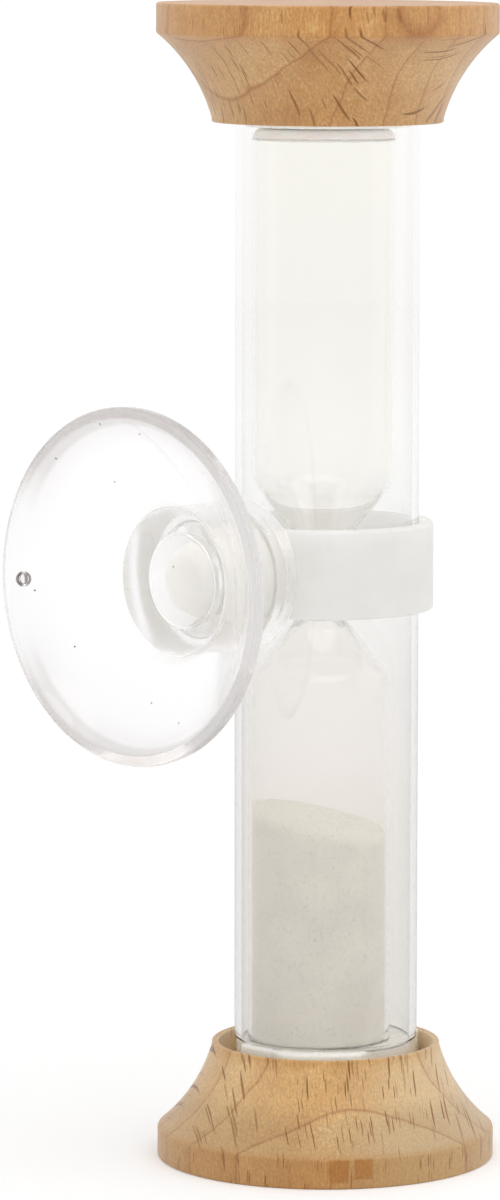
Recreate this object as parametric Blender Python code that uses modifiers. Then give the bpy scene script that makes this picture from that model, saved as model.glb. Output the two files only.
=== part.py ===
# Shower sand timer with a suction cup, for Blender 4.5.
# Metres, +Z up. The origin is the centre of the lower cap's base, and the suction cup looks along +Y.

import math

import bpy
from mathutils import Vector

COLLECTION_NAME = "shower_timer"
CUTTER_COLLECTION_NAME = "shower_timer_cutters"
SEGMENTS = 40
ARC_STEPS = 4
EDGE_STEPS = 2
COVE_STEPS = 8
DOME_STEPS = 6
MERGE = 0.00001

# Clearances between pieces
SEAT_GAP = 0.0003
SWIVEL_GAP = 0.0003

# Outer tube
TUBE_RADIUS = 0.01055
TUBE_WALL = 0.0008
TUBE_END_ROUND = 0.00035
TUBE_ENTRY = 0.001

# Turned wooden caps
CAP_HEIGHT = 0.0135
CAP_RIM_BAND = 0.0034
CAP_FLARE = 0.0063
CAP_LIP_WALL = 0.00075
CAP_RECESS_MARGIN = 0.0019
CAP_COVE_RADIUS = 0.019
CAP_SHOULDER_ROUND = 0.0008
CAP_EDGE_ROUND = 0.0003
CAP_LIP_ROUND = 0.00025

# Sandglass: two bulbs that meet at a narrow throat
LOWER_BULB_LENGTH = 0.0534
UPPER_BULB_LENGTH = 0.0516
BULB_MARGIN = 0.00155
BULB_WALL = 0.0006
BULB_FOOT_WALL = 0.0006
BULB_END_WALL = 0.0014
BULB_END_ROUND = 0.0014
BULB_FLOOR_ROUND = 0.0008
ORIFICE_RADIUS = 0.0006
NECK_WALL = 0.0014
NECK_HALF_LENGTH = 0.0025
NECK_ROUND = 0.003
SHOULDER_ROUND = 0.005
FUNNEL_ANGLE = math.radians(39)
FOOT_ABOVE_LIP = 0.0004
TOP_BELOW_LIP = 0.0006

# Stopper of the filling hole
PLUG_RADIUS = 0.0015
PLUG_FLANGE_MARGIN = 0.0013
PLUG_FLANGE_THICKNESS = 0.0006
PLUG_FLANGE_ROUND = 0.0002
PLUG_TIP_CHAMFER = 0.0003

# Sand
SAND_DEPTH = 0.0255
SAND_SLOPE = math.radians(11.5)
SAND_HIGH_SIDE = math.radians(42.5)

# Adhesive beds
BED_SIDE_GAP = 0.0012
BED_ROUND = 0.0005
UPPER_BED_THICKNESS = 0.001

# Band round the tube, and its stud
BAND_HEIGHT = 0.0102
BAND_WALL = 0.0014
BAND_EDGE_ROUND = 0.0004
BAND_ABOVE_THROAT = 0.0017
COLLAR_STAND = 0.00085
COLLAR_MARGIN = 0.0011
STUD_NECK_RADIUS = 0.0039
STUD_NECK_LENGTH = 0.0028
STUD_BARB = 0.00175
STUD_BARB_EDGE = 0.0009
STUD_HEAD_LENGTH = 0.0058
STUD_TIP_TAPER = 0.0019
STUD_TIP_ROUND = 0.0014
STUD_ROOT_BITE = 0.0001

# Suction cup
CUP_RADIUS = 0.02
CUP_BOWL_DEPTH = 0.0075
CUP_FLOOR = 0.0029
CUP_RIM_FACE = 0.0012
CUP_RIM_THICKNESS = 0.0011
CUP_RIM_ROUND = 0.00025
CUP_BACK_RADIUS = 0.03
CUP_ROOT_DROP = 0.0011
HUB_WALL = 0.0027
HUB_EDGE_ROUND = 0.0011
HUB_ROOT_ROUND = 0.0012
PIP_RADIUS = 0.0009
PIP_INSET = 0.0015

# Sizes worked out from the ones above
capRecessRadius = TUBE_RADIUS + CAP_RECESS_MARGIN
capNeckRadius = capRecessRadius + CAP_LIP_WALL
capRimRadius = capNeckRadius + CAP_FLARE
capRecessDepth = TUBE_ENTRY + UPPER_BED_THICKNESS + 2 * SEAT_GAP
capFloor = CAP_HEIGHT - capRecessDepth
footHeight = CAP_HEIGHT + FOOT_ABOVE_LIP
throatHeight = footHeight + LOWER_BULB_LENGTH
bulbTop = throatHeight + UPPER_BULB_LENGTH
upperLip = bulbTop + TOP_BELOW_LIP
totalHeight = upperLip + CAP_HEIGHT
upperFloor = upperLip + capRecessDepth
tubeTop = upperLip + TUBE_ENTRY
tubeBore = TUBE_RADIUS - TUBE_WALL
bulbRadius = tubeBore - BULB_MARGIN
bulbBore = bulbRadius - BULB_WALL
chamberFloor = footHeight + BULB_FOOT_WALL
chamberTop = bulbTop - BULB_END_WALL
bedRadius = capRecessRadius - BED_SIDE_GAP
flangeRadius = PLUG_RADIUS + PLUG_FLANGE_MARGIN
bandBore = TUBE_RADIUS + SEAT_GAP
bandRadius = bandBore + BAND_WALL
bandHeight = throatHeight + BAND_ABOVE_THROAT
collarFace = bandRadius + COLLAR_STAND
headRadius = STUD_NECK_RADIUS + STUD_BARB
headBack = collarFace + STUD_NECK_LENGTH
headTip = headBack + STUD_HEAD_LENGTH
pocketRadius = headRadius + SWIVEL_GAP
pocketBack = headBack - SWIVEL_GAP
pocketFront = headTip + SWIVEL_GAP
hubRadius = pocketRadius + HUB_WALL
hubBack = collarFace + SWIVEL_GAP
bowlFloor = pocketFront + CUP_FLOOR
hubFront = bowlFloor - CUP_ROOT_DROP
rimPlane = bowlFloor + CUP_BOWL_DEPTH


def clearScene():
    for thing in list(bpy.data.objects):
        bpy.data.objects.remove(thing, do_unlink=True)


def newCollection(name):
    collection = bpy.data.collections.new(name)
    bpy.context.scene.collection.children.link(collection)
    return collection


def newMaterial(name, colour, roughness, transmission=0.0):
    material = bpy.data.materials.new(name)
    material.use_nodes = True
    shader = material.node_tree.nodes["Principled BSDF"]
    shader.inputs["Base Color"].default_value = (*colour, 1.0)
    shader.inputs["Roughness"].default_value = roughness
    shader.inputs["Metallic"].default_value = 0.0
    shader.inputs["Transmission Weight"].default_value = transmission
    material.diffuse_color = (*colour, 1.0)
    return material


def arcCentre(start, end, radius):
    # The centre lies to the left of the way from start to end.
    chord = end - start
    left = Vector((-chord.y, chord.x)).normalized()
    return (start + end) / 2 + left * math.sqrt(max(radius ** 2 - chord.length_squared / 4, 0.0))


def arcPoints(centre, start, end, steps):
    first = start - centre
    last = end - centre
    turn = first.angle(last)
    points = []
    for step in range(steps + 1):
        share = step / steps
        fromFirst = first * math.sin((1 - share) * turn)
        fromLast = last * math.sin(share * turn)
        points.append(centre + (fromFirst + fromLast) / math.sin(turn))
    return points


def roundedPath(corners):
    # Each corner is (radius, height, rounding); an arc takes the place of a rounded corner.
    path = []
    for index, (radius, height, rounding) in enumerate(corners):
        corner = Vector((radius, height))
        if rounding == 0 or index in (0, len(corners) - 1):
            path.append(corner)
            continue
        before = Vector(corners[index - 1][:2]) - corner
        after = Vector(corners[index + 1][:2]) - corner
        half = before.angle(after) / 2
        reach = min(rounding / math.tan(half), 0.48 * before.length, 0.48 * after.length)
        middle = (before.normalized() + after.normalized()).normalized()
        centre = corner + middle * (reach / math.cos(half))
        start = corner + before.normalized() * reach
        end = corner + after.normalized() * reach
        path += arcPoints(centre, start, end, EDGE_STEPS)
    return path


def ringPath(inner, outer, bottom, top, rounding):
    # Cross-section of a tube with its four edges rounded, up the inside and down the outside.
    corners = [
        (outer, bottom, rounding),
        (inner, bottom, rounding),
        (inner, top, rounding),
        (outer, top, rounding),
    ]
    return roundedPath([corners[-1]] + corners + [corners[0]])[1:-1]


def addTurned(name, path, collection, parent, material=None, closed=False):
    # A profile of (radius, height) points that runs down its outer side, turned about Z.
    mesh = bpy.data.meshes.new(name)
    edges = [(index, index + 1) for index in range(len(path) - 1)]
    if closed:
        edges.append((len(path) - 1, 0))
    mesh.from_pydata([(point[0], 0.0, point[1]) for point in path], edges, [])
    piece = bpy.data.objects.new(name, mesh)
    piece.parent = parent
    collection.objects.link(piece)
    screw = piece.modifiers.new("turning", "SCREW")
    screw.axis = "Z"
    screw.angle = 2 * math.pi
    screw.steps = SEGMENTS
    screw.render_steps = SEGMENTS
    screw.use_merge_vertices = True
    screw.merge_threshold = MERGE
    screw.use_smooth_shade = True
    if material:
        piece.data.materials.append(material)
    return piece


def addEmpty(name, location, collection, parent=None):
    empty = bpy.data.objects.new(name, None)
    empty.empty_display_size = 0.01
    empty.location = location
    empty.parent = parent
    collection.objects.link(empty)
    return empty


def addBoolean(piece, cutter, operation):
    cutter.hide_render = True
    cutter.display_type = "WIRE"
    boolean = piece.modifiers.new(operation.lower(), "BOOLEAN")
    boolean.operation = operation
    boolean.solver = "EXACT"
    boolean.object = cutter


def capProfile():
    # The cap stands on its rim, with the neck and its recess on top and a hollow cove between.
    coveTop = Vector((capNeckRadius, CAP_HEIGHT - 2 * CAP_LIP_ROUND))
    coveBottom = Vector((capRimRadius, CAP_RIM_BAND))
    centre = arcCentre(coveTop, coveBottom, CAP_COVE_RADIUS)
    cove = arcPoints(centre, coveTop, coveBottom, COVE_STEPS)
    lip = roundedPath([
        (0.0, capFloor, 0),
        (capRecessRadius, capFloor, 0),
        (capRecessRadius, CAP_HEIGHT, CAP_LIP_ROUND),
        (capNeckRadius, CAP_HEIGHT, CAP_LIP_ROUND),
        (*coveTop, 0),
    ])
    foot = roundedPath([
        (*cove[-2], 0),
        (*coveBottom, CAP_SHOULDER_ROUND),
        (capRimRadius, 0.0, CAP_EDGE_ROUND),
        (0.0, 0.0, 0),
    ])
    return lip + cove[1:-2] + foot


def addCaps(material, collection, parent):
    addTurned("lower_cap", capProfile(), collection, parent, material)
    upper = addTurned("upper_cap", capProfile(), collection, parent, material)
    upper.location = (0.0, 0.0, totalHeight)
    upper.rotation_euler = (math.pi, 0.0, 0.0)


def addTube(material, collection, parent):
    path = ringPath(tubeBore, TUBE_RADIUS, footHeight, tubeTop, TUBE_END_ROUND)
    addTurned("outer_tube", path, collection, parent, material, closed=True)


def waist(wallRadius, throatRadius, shoulderRound, neckRound):
    # Points (radius, distance from the throat), from the neck out to the bulb's straight wall.
    points = []
    for step in range(ARC_STEPS + 1):
        turn = FUNNEL_ANGLE * step / ARC_STEPS
        radius = throatRadius + neckRound * (1 - math.cos(turn))
        points.append((radius, NECK_HALF_LENGTH + neckRound * math.sin(turn)))
    shoulderStart = wallRadius - shoulderRound * (1 - math.cos(FUNNEL_ANGLE))
    coneEnd = points[-1][1] + (shoulderStart - points[-1][0]) / math.tan(FUNNEL_ANGLE)
    for step in range(ARC_STEPS + 1):
        turn = FUNNEL_ANGLE * (1 - step / ARC_STEPS)
        radius = wallRadius - shoulderRound * (1 - math.cos(turn))
        distance = coneEnd + shoulderRound * (math.sin(FUNNEL_ANGLE) - math.sin(turn))
        points.append((radius, distance))
    return points


def addSandglass(material, collection, parent):
    # The profile runs up the inside, out through the filling hole, and down the outside.
    inner = waist(bulbBore, ORIFICE_RADIUS, SHOULDER_ROUND - BULB_WALL, NECK_ROUND + BULB_WALL)
    outer = waist(bulbRadius, ORIFICE_RADIUS + NECK_WALL, SHOULDER_ROUND, NECK_ROUND)
    innerLow = [Vector((radius, throatHeight - away)) for radius, away in reversed(inner)]
    innerHigh = [Vector((radius, throatHeight + away)) for radius, away in inner]
    outerHigh = [Vector((radius, throatHeight + away)) for radius, away in reversed(outer)]
    outerLow = [Vector((radius, throatHeight - away)) for radius, away in outer]
    floor = roundedPath([
        (0.0, chamberFloor, 0),
        (bulbBore, chamberFloor, BULB_FLOOR_ROUND),
        (*innerLow[0], 0),
    ])
    crown = roundedPath([
        (*innerHigh[-1], 0),
        (bulbBore, chamberTop, BULB_FLOOR_ROUND),
        (PLUG_RADIUS + SEAT_GAP, chamberTop, 0),
        (PLUG_RADIUS + SEAT_GAP, bulbTop, 0),
        (bulbRadius, bulbTop, BULB_END_ROUND),
        (*outerHigh[0], 0),
    ])
    foot = roundedPath([
        (*outerLow[-1], 0),
        (bulbRadius, footHeight, BULB_END_ROUND),
        (0.0, footHeight, 0),
    ])
    path = floor[:-1] + innerLow + innerHigh + crown[1:-1] + outerHigh + outerLow + foot[1:]
    addTurned("sandglass", path, collection, parent, material)


def addPlug(material, collection, parent):
    # A headed stopper whose shank fills the hole in the sandglass's upper end.
    flangeBottom = bulbTop + SEAT_GAP
    flangeTop = flangeBottom + PLUG_FLANGE_THICKNESS
    path = roundedPath([
        (0.0, flangeTop, 0),
        (flangeRadius, flangeTop, PLUG_FLANGE_ROUND),
        (flangeRadius, flangeBottom, 0),
        (PLUG_RADIUS, flangeBottom, 0),
        (PLUG_RADIUS, chamberTop + PLUG_TIP_CHAMFER, 0),
        (PLUG_RADIUS - PLUG_TIP_CHAMFER, chamberTop, 0),
        (0.0, chamberTop, 0),
    ])
    addTurned("filling_plug", path, collection, parent, material)


def addSand(material, collection, cutters, parent):
    # Sand fills the lower bulb from wall to wall, and a sloping plane cuts off its surface.
    radius = bulbBore - SEAT_GAP
    bottom = chamberFloor + SEAT_GAP
    level = bottom + SAND_DEPTH
    highest = level + 2 * radius * math.tan(SAND_SLOPE)
    path = roundedPath([
        (0.0, highest, 0),
        (radius, highest, 0),
        (radius, bottom, BULB_FLOOR_ROUND),
        (0.0, bottom, 0),
    ])
    sand = addTurned("sand", path, collection, parent, material)
    side = 4 * radius
    bpy.ops.mesh.primitive_cube_add(size=side)
    cutter = bpy.context.object
    cutter.name = "sand_slope"
    cutter.users_collection[0].objects.unlink(cutter)
    cutters.objects.link(cutter)
    cutter.rotation_euler = (0.0, -SAND_SLOPE, SAND_HIGH_SIDE)
    upward = cutter.rotation_euler.to_matrix() @ Vector((0.0, 0.0, 1.0))
    cutter.location = Vector((0.0, 0.0, level)) + upward * side / 2
    addBoolean(sand, cutter, "DIFFERENCE")


def addLowerBed(material, collection, parent):
    # A pad in the lower recess, on which the tube and the sandglass stand.
    top = footHeight - SEAT_GAP
    bottom = capFloor + SEAT_GAP
    path = roundedPath([
        (0.0, top, 0),
        (bedRadius, top, BED_ROUND),
        (bedRadius, bottom, 0),
        (0.0, bottom, 0),
    ])
    addTurned("lower_glue_bed", path, collection, parent, material)


def addUpperBed(material, collection, parent):
    # Fills the tube's end above the sandglass, with a pocket for the stopper's flange.
    top = upperFloor - SEAT_GAP
    step = tubeTop + SEAT_GAP
    bottom = bulbTop + SEAT_GAP
    flangePocket = bottom + PLUG_FLANGE_THICKNESS + SEAT_GAP
    path = roundedPath([
        (0.0, top, 0),
        (bedRadius, top, 0),
        (bedRadius, step, 0),
        (tubeBore - SEAT_GAP, step, 0),
        (tubeBore - SEAT_GAP, bottom, BED_ROUND),
        (flangeRadius + SEAT_GAP, bottom, 0),
        (flangeRadius + SEAT_GAP, flangePocket, 0),
        (0.0, flangePocket, 0),
    ])
    addTurned("upper_glue_bed", path, collection, parent, material)


def studProfile():
    # Head, neck and collar along the cup's axis; heights are distances from the tube's axis.
    collarRadius = STUD_NECK_RADIUS + COLLAR_MARGIN
    root = bandBore + STUD_ROOT_BITE
    return roundedPath([
        (0.0, headTip, 0),
        (headRadius - STUD_TIP_TAPER, headTip, STUD_TIP_ROUND),
        (headRadius, headBack + STUD_BARB_EDGE, 0),
        (headRadius, headBack, 0),
        (STUD_NECK_RADIUS, headBack, 0),
        (STUD_NECK_RADIUS, collarFace, 0),
        (collarRadius, collarFace, 0),
        (collarRadius, root, 0),
        (0.0, root, 0),
    ])


def addBand(material, collection, cutters, parent):
    # A ring round the tube, moulded in one with the stud that carries the suction cup.
    half = BAND_HEIGHT / 2
    path = ringPath(bandBore, bandRadius, -half, half, BAND_EDGE_ROUND)
    band = addTurned("clip_band", path, collection, parent, material, closed=True)
    stud = addTurned("stud", studProfile(), cutters, parent)
    stud.rotation_euler = (-math.pi / 2, 0.0, 0.0)
    addBoolean(band, stud, "UNION")


def cupBack():
    # The cup's outer dome, from the rim in to the hub, and the centre of its arc.
    root = Vector((hubRadius, hubFront))
    rim = Vector((CUP_RADIUS, rimPlane - CUP_RIM_THICKNESS))
    centre = arcCentre(root, rim, CUP_BACK_RADIUS)
    return centre, arcPoints(centre, rim, root, DOME_STEPS)


def cupProfile():
    # Up the bowl from its floor to the flat rim, down the dome and the hub, into the stud's pocket.
    rimInner = CUP_RADIUS - CUP_RIM_FACE
    bowlRadius = (rimInner ** 2 + CUP_BOWL_DEPTH ** 2) / (2 * CUP_BOWL_DEPTH)
    bowlStart = Vector((0.0, bowlFloor))
    bowlEnd = Vector((rimInner, rimPlane))
    bowl = arcPoints(Vector((0.0, bowlFloor + bowlRadius)), bowlStart, bowlEnd, DOME_STEPS)
    dome = cupBack()[1]
    holeRadius = STUD_NECK_RADIUS + SWIVEL_GAP
    rim = roundedPath([
        (*bowlEnd, 0),
        (CUP_RADIUS, rimPlane, CUP_RIM_ROUND),
        (*dome[0], CUP_RIM_ROUND),
        (*dome[1], 0),
    ])
    hub = roundedPath([
        (*dome[-2], 0),
        (*dome[-1], HUB_ROOT_ROUND),
        (hubRadius, hubBack, HUB_EDGE_ROUND),
        (holeRadius, hubBack, 0),
        (holeRadius, pocketBack, 0),
        (pocketRadius, pocketBack, 0),
        (pocketRadius, pocketFront, 0),
        (0.0, pocketFront, 0),
    ])
    return bowl[:-1] + rim[:-1] + dome[1:-2] + hub


def addCup(material, collection, cutters, parent):
    cup = addTurned("suction_cup", cupProfile(), collection, parent, material)
    cup.rotation_euler = (-math.pi / 2, 0.0, 0.0)
    centre = cupBack()[0]
    pipRadius = CUP_RADIUS - PIP_INSET
    pipDistance = centre.y - math.sqrt(CUP_BACK_RADIUS ** 2 - (pipRadius - centre.x) ** 2)
    bpy.ops.mesh.primitive_uv_sphere_add(segments=12, ring_count=8, radius=PIP_RADIUS)
    pip = bpy.context.object
    pip.name = "pip"
    pip.users_collection[0].objects.unlink(pip)
    cutters.objects.link(pip)
    pip.parent = parent
    pip.location = (pipRadius, pipDistance, 0.0)
    addBoolean(cup, pip, "UNION")


def build():
    clearScene()
    model = newCollection(COLLECTION_NAME)
    cutters = newCollection(CUTTER_COLLECTION_NAME)
    beech = newMaterial("oiled_beech", (0.60, 0.37, 0.18), 0.55)
    tubeGlass = newMaterial("clear_tube_glass", (0.95, 0.95, 0.94), 0.04, 1.0)
    blownGlass = newMaterial("blown_glass", (0.96, 0.96, 0.94), 0.03, 1.0)
    stopper = newMaterial("white_stopper", (0.88, 0.88, 0.86), 0.45)
    grains = newMaterial("pale_sand", (0.76, 0.73, 0.68), 0.95)
    adhesive = newMaterial("clear_adhesive", (0.90, 0.89, 0.86), 0.2, 0.8)
    milky = newMaterial("milky_polythene", (0.86, 0.87, 0.85), 0.35)
    vinyl = newMaterial("clear_soft_vinyl", (0.93, 0.94, 0.94), 0.08, 1.0)

    timer = addEmpty("timer_axis", (0.0, 0.0, 0.0), model)
    bandAxis = addEmpty("band_slide_axis", (0.0, 0.0, bandHeight), model, timer)
    cupAxis = addEmpty("cup_swivel_axis", (0.0, 0.0, 0.0), model, bandAxis)

    addCaps(beech, model, timer)
    addTube(tubeGlass, model, timer)
    addSandglass(blownGlass, model, timer)
    addPlug(stopper, model, timer)
    addSand(grains, model, cutters, timer)
    addLowerBed(adhesive, model, timer)
    addUpperBed(adhesive, model, timer)
    addBand(milky, model, cutters, bandAxis)
    addCup(vinyl, model, cutters, cupAxis)


build()
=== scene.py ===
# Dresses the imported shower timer: turned beech, clear glass, fine sand, milky polythene and clear vinyl.
import math
from functools import partial

import bmesh
import bpy
from mathutils import Matrix, Vector, noise


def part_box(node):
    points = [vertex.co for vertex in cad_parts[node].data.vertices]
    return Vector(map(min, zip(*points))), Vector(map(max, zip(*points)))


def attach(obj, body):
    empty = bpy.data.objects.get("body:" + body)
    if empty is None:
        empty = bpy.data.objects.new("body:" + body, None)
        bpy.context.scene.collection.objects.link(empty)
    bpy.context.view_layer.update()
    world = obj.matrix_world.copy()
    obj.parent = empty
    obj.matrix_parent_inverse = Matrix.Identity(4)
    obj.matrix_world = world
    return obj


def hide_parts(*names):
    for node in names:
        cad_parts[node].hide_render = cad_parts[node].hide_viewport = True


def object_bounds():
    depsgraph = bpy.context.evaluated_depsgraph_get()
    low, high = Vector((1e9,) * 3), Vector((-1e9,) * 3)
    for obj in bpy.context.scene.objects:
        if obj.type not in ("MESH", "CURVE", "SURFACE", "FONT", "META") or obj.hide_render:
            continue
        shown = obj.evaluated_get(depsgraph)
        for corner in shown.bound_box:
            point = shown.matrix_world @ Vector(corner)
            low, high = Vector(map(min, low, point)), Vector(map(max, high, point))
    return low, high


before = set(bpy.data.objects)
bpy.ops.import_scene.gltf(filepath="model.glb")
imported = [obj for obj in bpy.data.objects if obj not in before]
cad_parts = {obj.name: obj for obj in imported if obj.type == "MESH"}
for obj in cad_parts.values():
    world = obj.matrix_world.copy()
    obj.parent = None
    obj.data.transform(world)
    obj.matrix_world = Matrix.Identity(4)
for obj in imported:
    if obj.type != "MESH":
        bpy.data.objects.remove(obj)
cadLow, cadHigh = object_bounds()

mm = 0.001  # one millimetre, in metres
fullTurn = 2 * math.pi


def linearColour(hexColour):
    # sRGB hex to the linear values that the shaders read
    channels = [int(hexColour[place:place + 2], 16) / 255 for place in (1, 3, 5)]
    return [c / 12.92 if c <= 0.04045 else ((c + 0.055) / 1.055) ** 2.4 for c in channels] + [1.0]


def setRamp(ramp, stops):
    # stops are (position, hex colour), at least two
    elements = ramp.color_ramp.elements
    while len(elements) < len(stops):
        elements.new(0.5)
    for element, (position, hexColour) in zip(elements, stops):
        element.position = position
        element.color = linearColour(hexColour)


def addNode(tree, kind, inputs=None, stops=None, **settings):
    # Inputs come by name, or as a list from the first on. Each takes a value, a hex colour, a socket, or a
    # node, which stands for its first output in use
    node = tree.nodes.new(kind if "Node" in kind else "ShaderNode" + kind)
    for key, value in settings.items():
        setattr(node, key, value)
    if stops:
        setRamp(node, stops)
    entries = inputs.items() if isinstance(inputs, dict) else enumerate(inputs or [])
    for key, value in entries:
        if isinstance(value, bpy.types.Node):
            value = next(output for output in value.outputs if output.enabled)
        if isinstance(value, bpy.types.NodeSocket):
            tree.links.new(value, node.inputs[key])
        else:
            node.inputs[key].default_value = linearColour(value) if isinstance(value, str) else value
    return node


def newMaterial(name):
    # The material, what adds a node to it, and the coordinates of the piece
    material = bpy.data.materials.new(name)
    material.use_nodes = True
    material.node_tree.nodes.clear()
    add = partial(addNode, material.node_tree)
    return material, add, add("TexCoord").outputs["Object"]


def placed(name, data):
    thing = bpy.data.objects.new(name, data)
    bpy.context.scene.collection.objects.link(thing)
    return thing


# Camera, where the photograph was taken from: it looks down a little from the cup's side
cameraSettings = {
    "focalPixels": 5763,
    "photoWidth": 500,
    "photoHeight": 1200,
    "axisPixelX": 382.8,
    "axisPixelY": 647.3,
    "sensor": 36.0,
    "distance": 0.6571,
    "sideways": 0.00648,
    "height": 0.1455,
    "pitch": 0.1304,
    "roll": 0.0038,
    "turn": math.radians(-137.5),
}


def makeCamera(settings):
    data = bpy.data.cameras.new("photoCamera")
    camera = placed("photoCamera", data)
    longSide = settings["photoHeight"]
    data.sensor_width = settings["sensor"]
    data.lens = settings["focalPixels"] / longSide * settings["sensor"]
    data.shift_x = (settings["photoWidth"] / 2 - settings["axisPixelX"]) / longSide
    data.shift_y = (settings["axisPixelY"] - settings["photoHeight"] / 2) / longSide
    data.clip_start = 0.05
    data.clip_end = 20.0
    pitch = settings["pitch"]
    roll = settings["roll"]
    forward = Vector((0.0, math.cos(pitch), -math.sin(pitch)))
    level = Vector((1.0, 0.0, 0.0))
    upright = level.cross(forward)
    right = level * math.cos(roll) + upright * math.sin(roll)
    up = upright * math.cos(roll) - level * math.sin(roll)
    axes = Matrix((right, up, -forward)).transposed().to_4x4()
    place = Matrix.Translation((settings["sideways"], -settings["distance"], settings["height"]))
    camera.matrix_world = Matrix.Rotation(settings["turn"], 4, "Z") @ place @ axes
    bpy.context.scene.camera = camera


# Studio: a pale floor, a bright horizon all round and a softer ceiling, as round a light table
studioSettings = {
    "floorRadius": 1.4,
    "floorColour": "#f2f2f2",
    "floorMottle": (900.0, 3.0, 0.05, 0.1 * mm),
    "floorGlow": (0.2, 0.42),
    "floorGlowReach": 1.0,
    "floorGlowOnPieces": 0.0,
    "horizon": 1.02,
    "ceiling": 0.92,
    "horizonOnPieces": 0.9,
    "ceilingOnPieces": 0.42,
    "ceilingStart": 0.25,
    "ceilingEnd": 0.8,
    "bounces": 40,  # the clear walls stand many deep
    "lamps": [
        {"name": "topSoftbox", "turn": 20, "rise": 74, "away": 0.9, "size": 1.3, "watts": 4.8},
        {"name": "sideSoftbox", "turn": 100, "rise": 20, "away": 0.8, "size": 0.8, "watts": 0.35},
    ],
}


def makeWorld(settings):
    world = bpy.data.worlds.new("lightTable")
    bpy.context.scene.world = world
    world.use_nodes = True
    world.node_tree.nodes.clear()
    add = partial(addNode, world.node_tree)
    height = add("SeparateXYZ", {"Vector": add("TexCoord").outputs["Generated"]}).outputs["Z"]
    levels = []
    for ending in ("", "OnPieces"):
        levels.append(add("MapRange", [height, settings["ceilingStart"], settings["ceilingEnd"],
                settings["horizon" + ending], settings["ceiling" + ending]],
                interpolation_type="SMOOTHSTEP"))
    # Matte surfaces get less of the white surround than the eye and the glass do, as under a hooded tent
    matte = add("LightPath").outputs["Is Diffuse Ray"]
    strength = add("Mix", {"Factor": matte, "A": levels[0], "B": levels[1]}, data_type="FLOAT")
    background = add("Background", {"Color": "#ffffff", "Strength": strength})
    add("OutputWorld", [background])


def makeLamps(settings):
    # turn is counted to the right of the camera, as seen from above the timer
    facing = cameraSettings["turn"] - math.pi / 2
    middle = (cadLow + cadHigh) / 2
    for lamp in settings["lamps"]:
        data = bpy.data.lights.new(lamp["name"], "AREA")
        data.shape = "DISK"
        data.size = lamp["size"]
        data.energy = lamp["watts"]
        light = placed(lamp["name"], data)
        turn = facing + math.radians(lamp["turn"])
        rise = math.radians(lamp["rise"])
        away = Vector((math.cos(turn) * math.cos(rise), math.sin(turn) * math.cos(rise), math.sin(rise)))
        light.location = middle + away * lamp["away"]
        light.rotation_euler = away.to_track_quat("Z", "Y").to_euler()


def makeFloor(settings):
    mesh = bpy.data.meshes.new("paleFloor")
    body = bmesh.new()
    bmesh.ops.create_circle(body, cap_ends=True, segments=96, radius=settings["floorRadius"])
    body.to_mesh(mesh)
    body.free()
    floor = placed("paleFloor", mesh)
    material, add, place = newMaterial("matteWhiteTable")
    bump = mottled(add, place, *settings["floorMottle"])[1]
    # The table glows from below, less under the lamp and round the base as painted shadow; its glow counts
    # for little on matte surfaces
    away = add("VectorMath", [place], operation="LENGTH")
    nearGlow, farGlow = settings["floorGlow"]
    seen = add("MapRange", [away, 0.0, settings["floorGlowReach"], nearGlow, farGlow],
            interpolation_type="SMOOTHSTEP")
    matte = add("LightPath").outputs["Is Diffuse Ray"]
    glow = add("MapRange", [matte, 0.0, 1.0, seen, settings["floorGlowOnPieces"]])
    surface = add("BsdfPrincipled", {"Base Color": settings["floorColour"], "Roughness": 0.8,
            "Normal": bump, "Emission Strength": glow, "Specular IOR Level": 0.2,
            "Emission Color": "#ffffff"})
    add("OutputMaterial", [surface])
    floor.data.materials.append(material)


def makeStudio():
    makeCamera(cameraSettings)
    makeWorld(studioSettings)
    makeLamps(studioSettings)
    makeFloor(studioSettings)
    scene = bpy.context.scene
    scene.view_settings.view_transform = "Standard"
    for kind in ("max", "transmission", "glossy"):
        setattr(scene.cycles, kind + "_bounces", studioSettings["bounces"])
    scene.cycles.blur_glossy = 0.0  # else the glass swallows half the light on the sand
    print("studio: camera, world, lamps and floor")


# Turned forms: outlines of (radius, height) spun about an axis
def arc(centre, start, end, steps):
    first = start - centre
    last = end - centre
    turn = first.angle(last)
    shares = [step / steps for step in range(steps + 1)]
    return [centre + (first * math.sin((1 - s) * turn) + last * math.sin(s * turn)) / math.sin(turn)
            for s in shares]


def rounded(corners, steps=6):
    # corners are (radius, height, rounding); the first and last stay sharp
    mostOfSide = 0.48
    outline = []
    for index, (radius, height, rounding) in enumerate(corners):
        corner = Vector((radius, height))
        if rounding == 0 or index in (0, len(corners) - 1):
            outline.append(corner)
            continue
        before = Vector(corners[index - 1][:2]) - corner
        after = Vector(corners[index + 1][:2]) - corner
        half = before.angle(after) / 2
        reach = min(rounding / math.tan(half), mostOfSide * before.length, mostOfSide * after.length)
        middle = (before.normalized() + after.normalized()).normalized()
        centre = corner + middle * (reach / math.cos(half))
        start = corner + before.normalized() * reach
        end = corner + after.normalized() * reach
        outline += arc(centre, start, end, steps)
    return outline


def inArc(before, corner, after):
    # Two steps of like length that meet at a slight bend belong to one arc
    arriving = corner - before
    leaving = after - corner
    alike = arriving.length < 2 * leaving.length and leaving.length < 2 * arriving.length
    return alike and arriving.angle(leaving) < math.radians(3)


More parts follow.
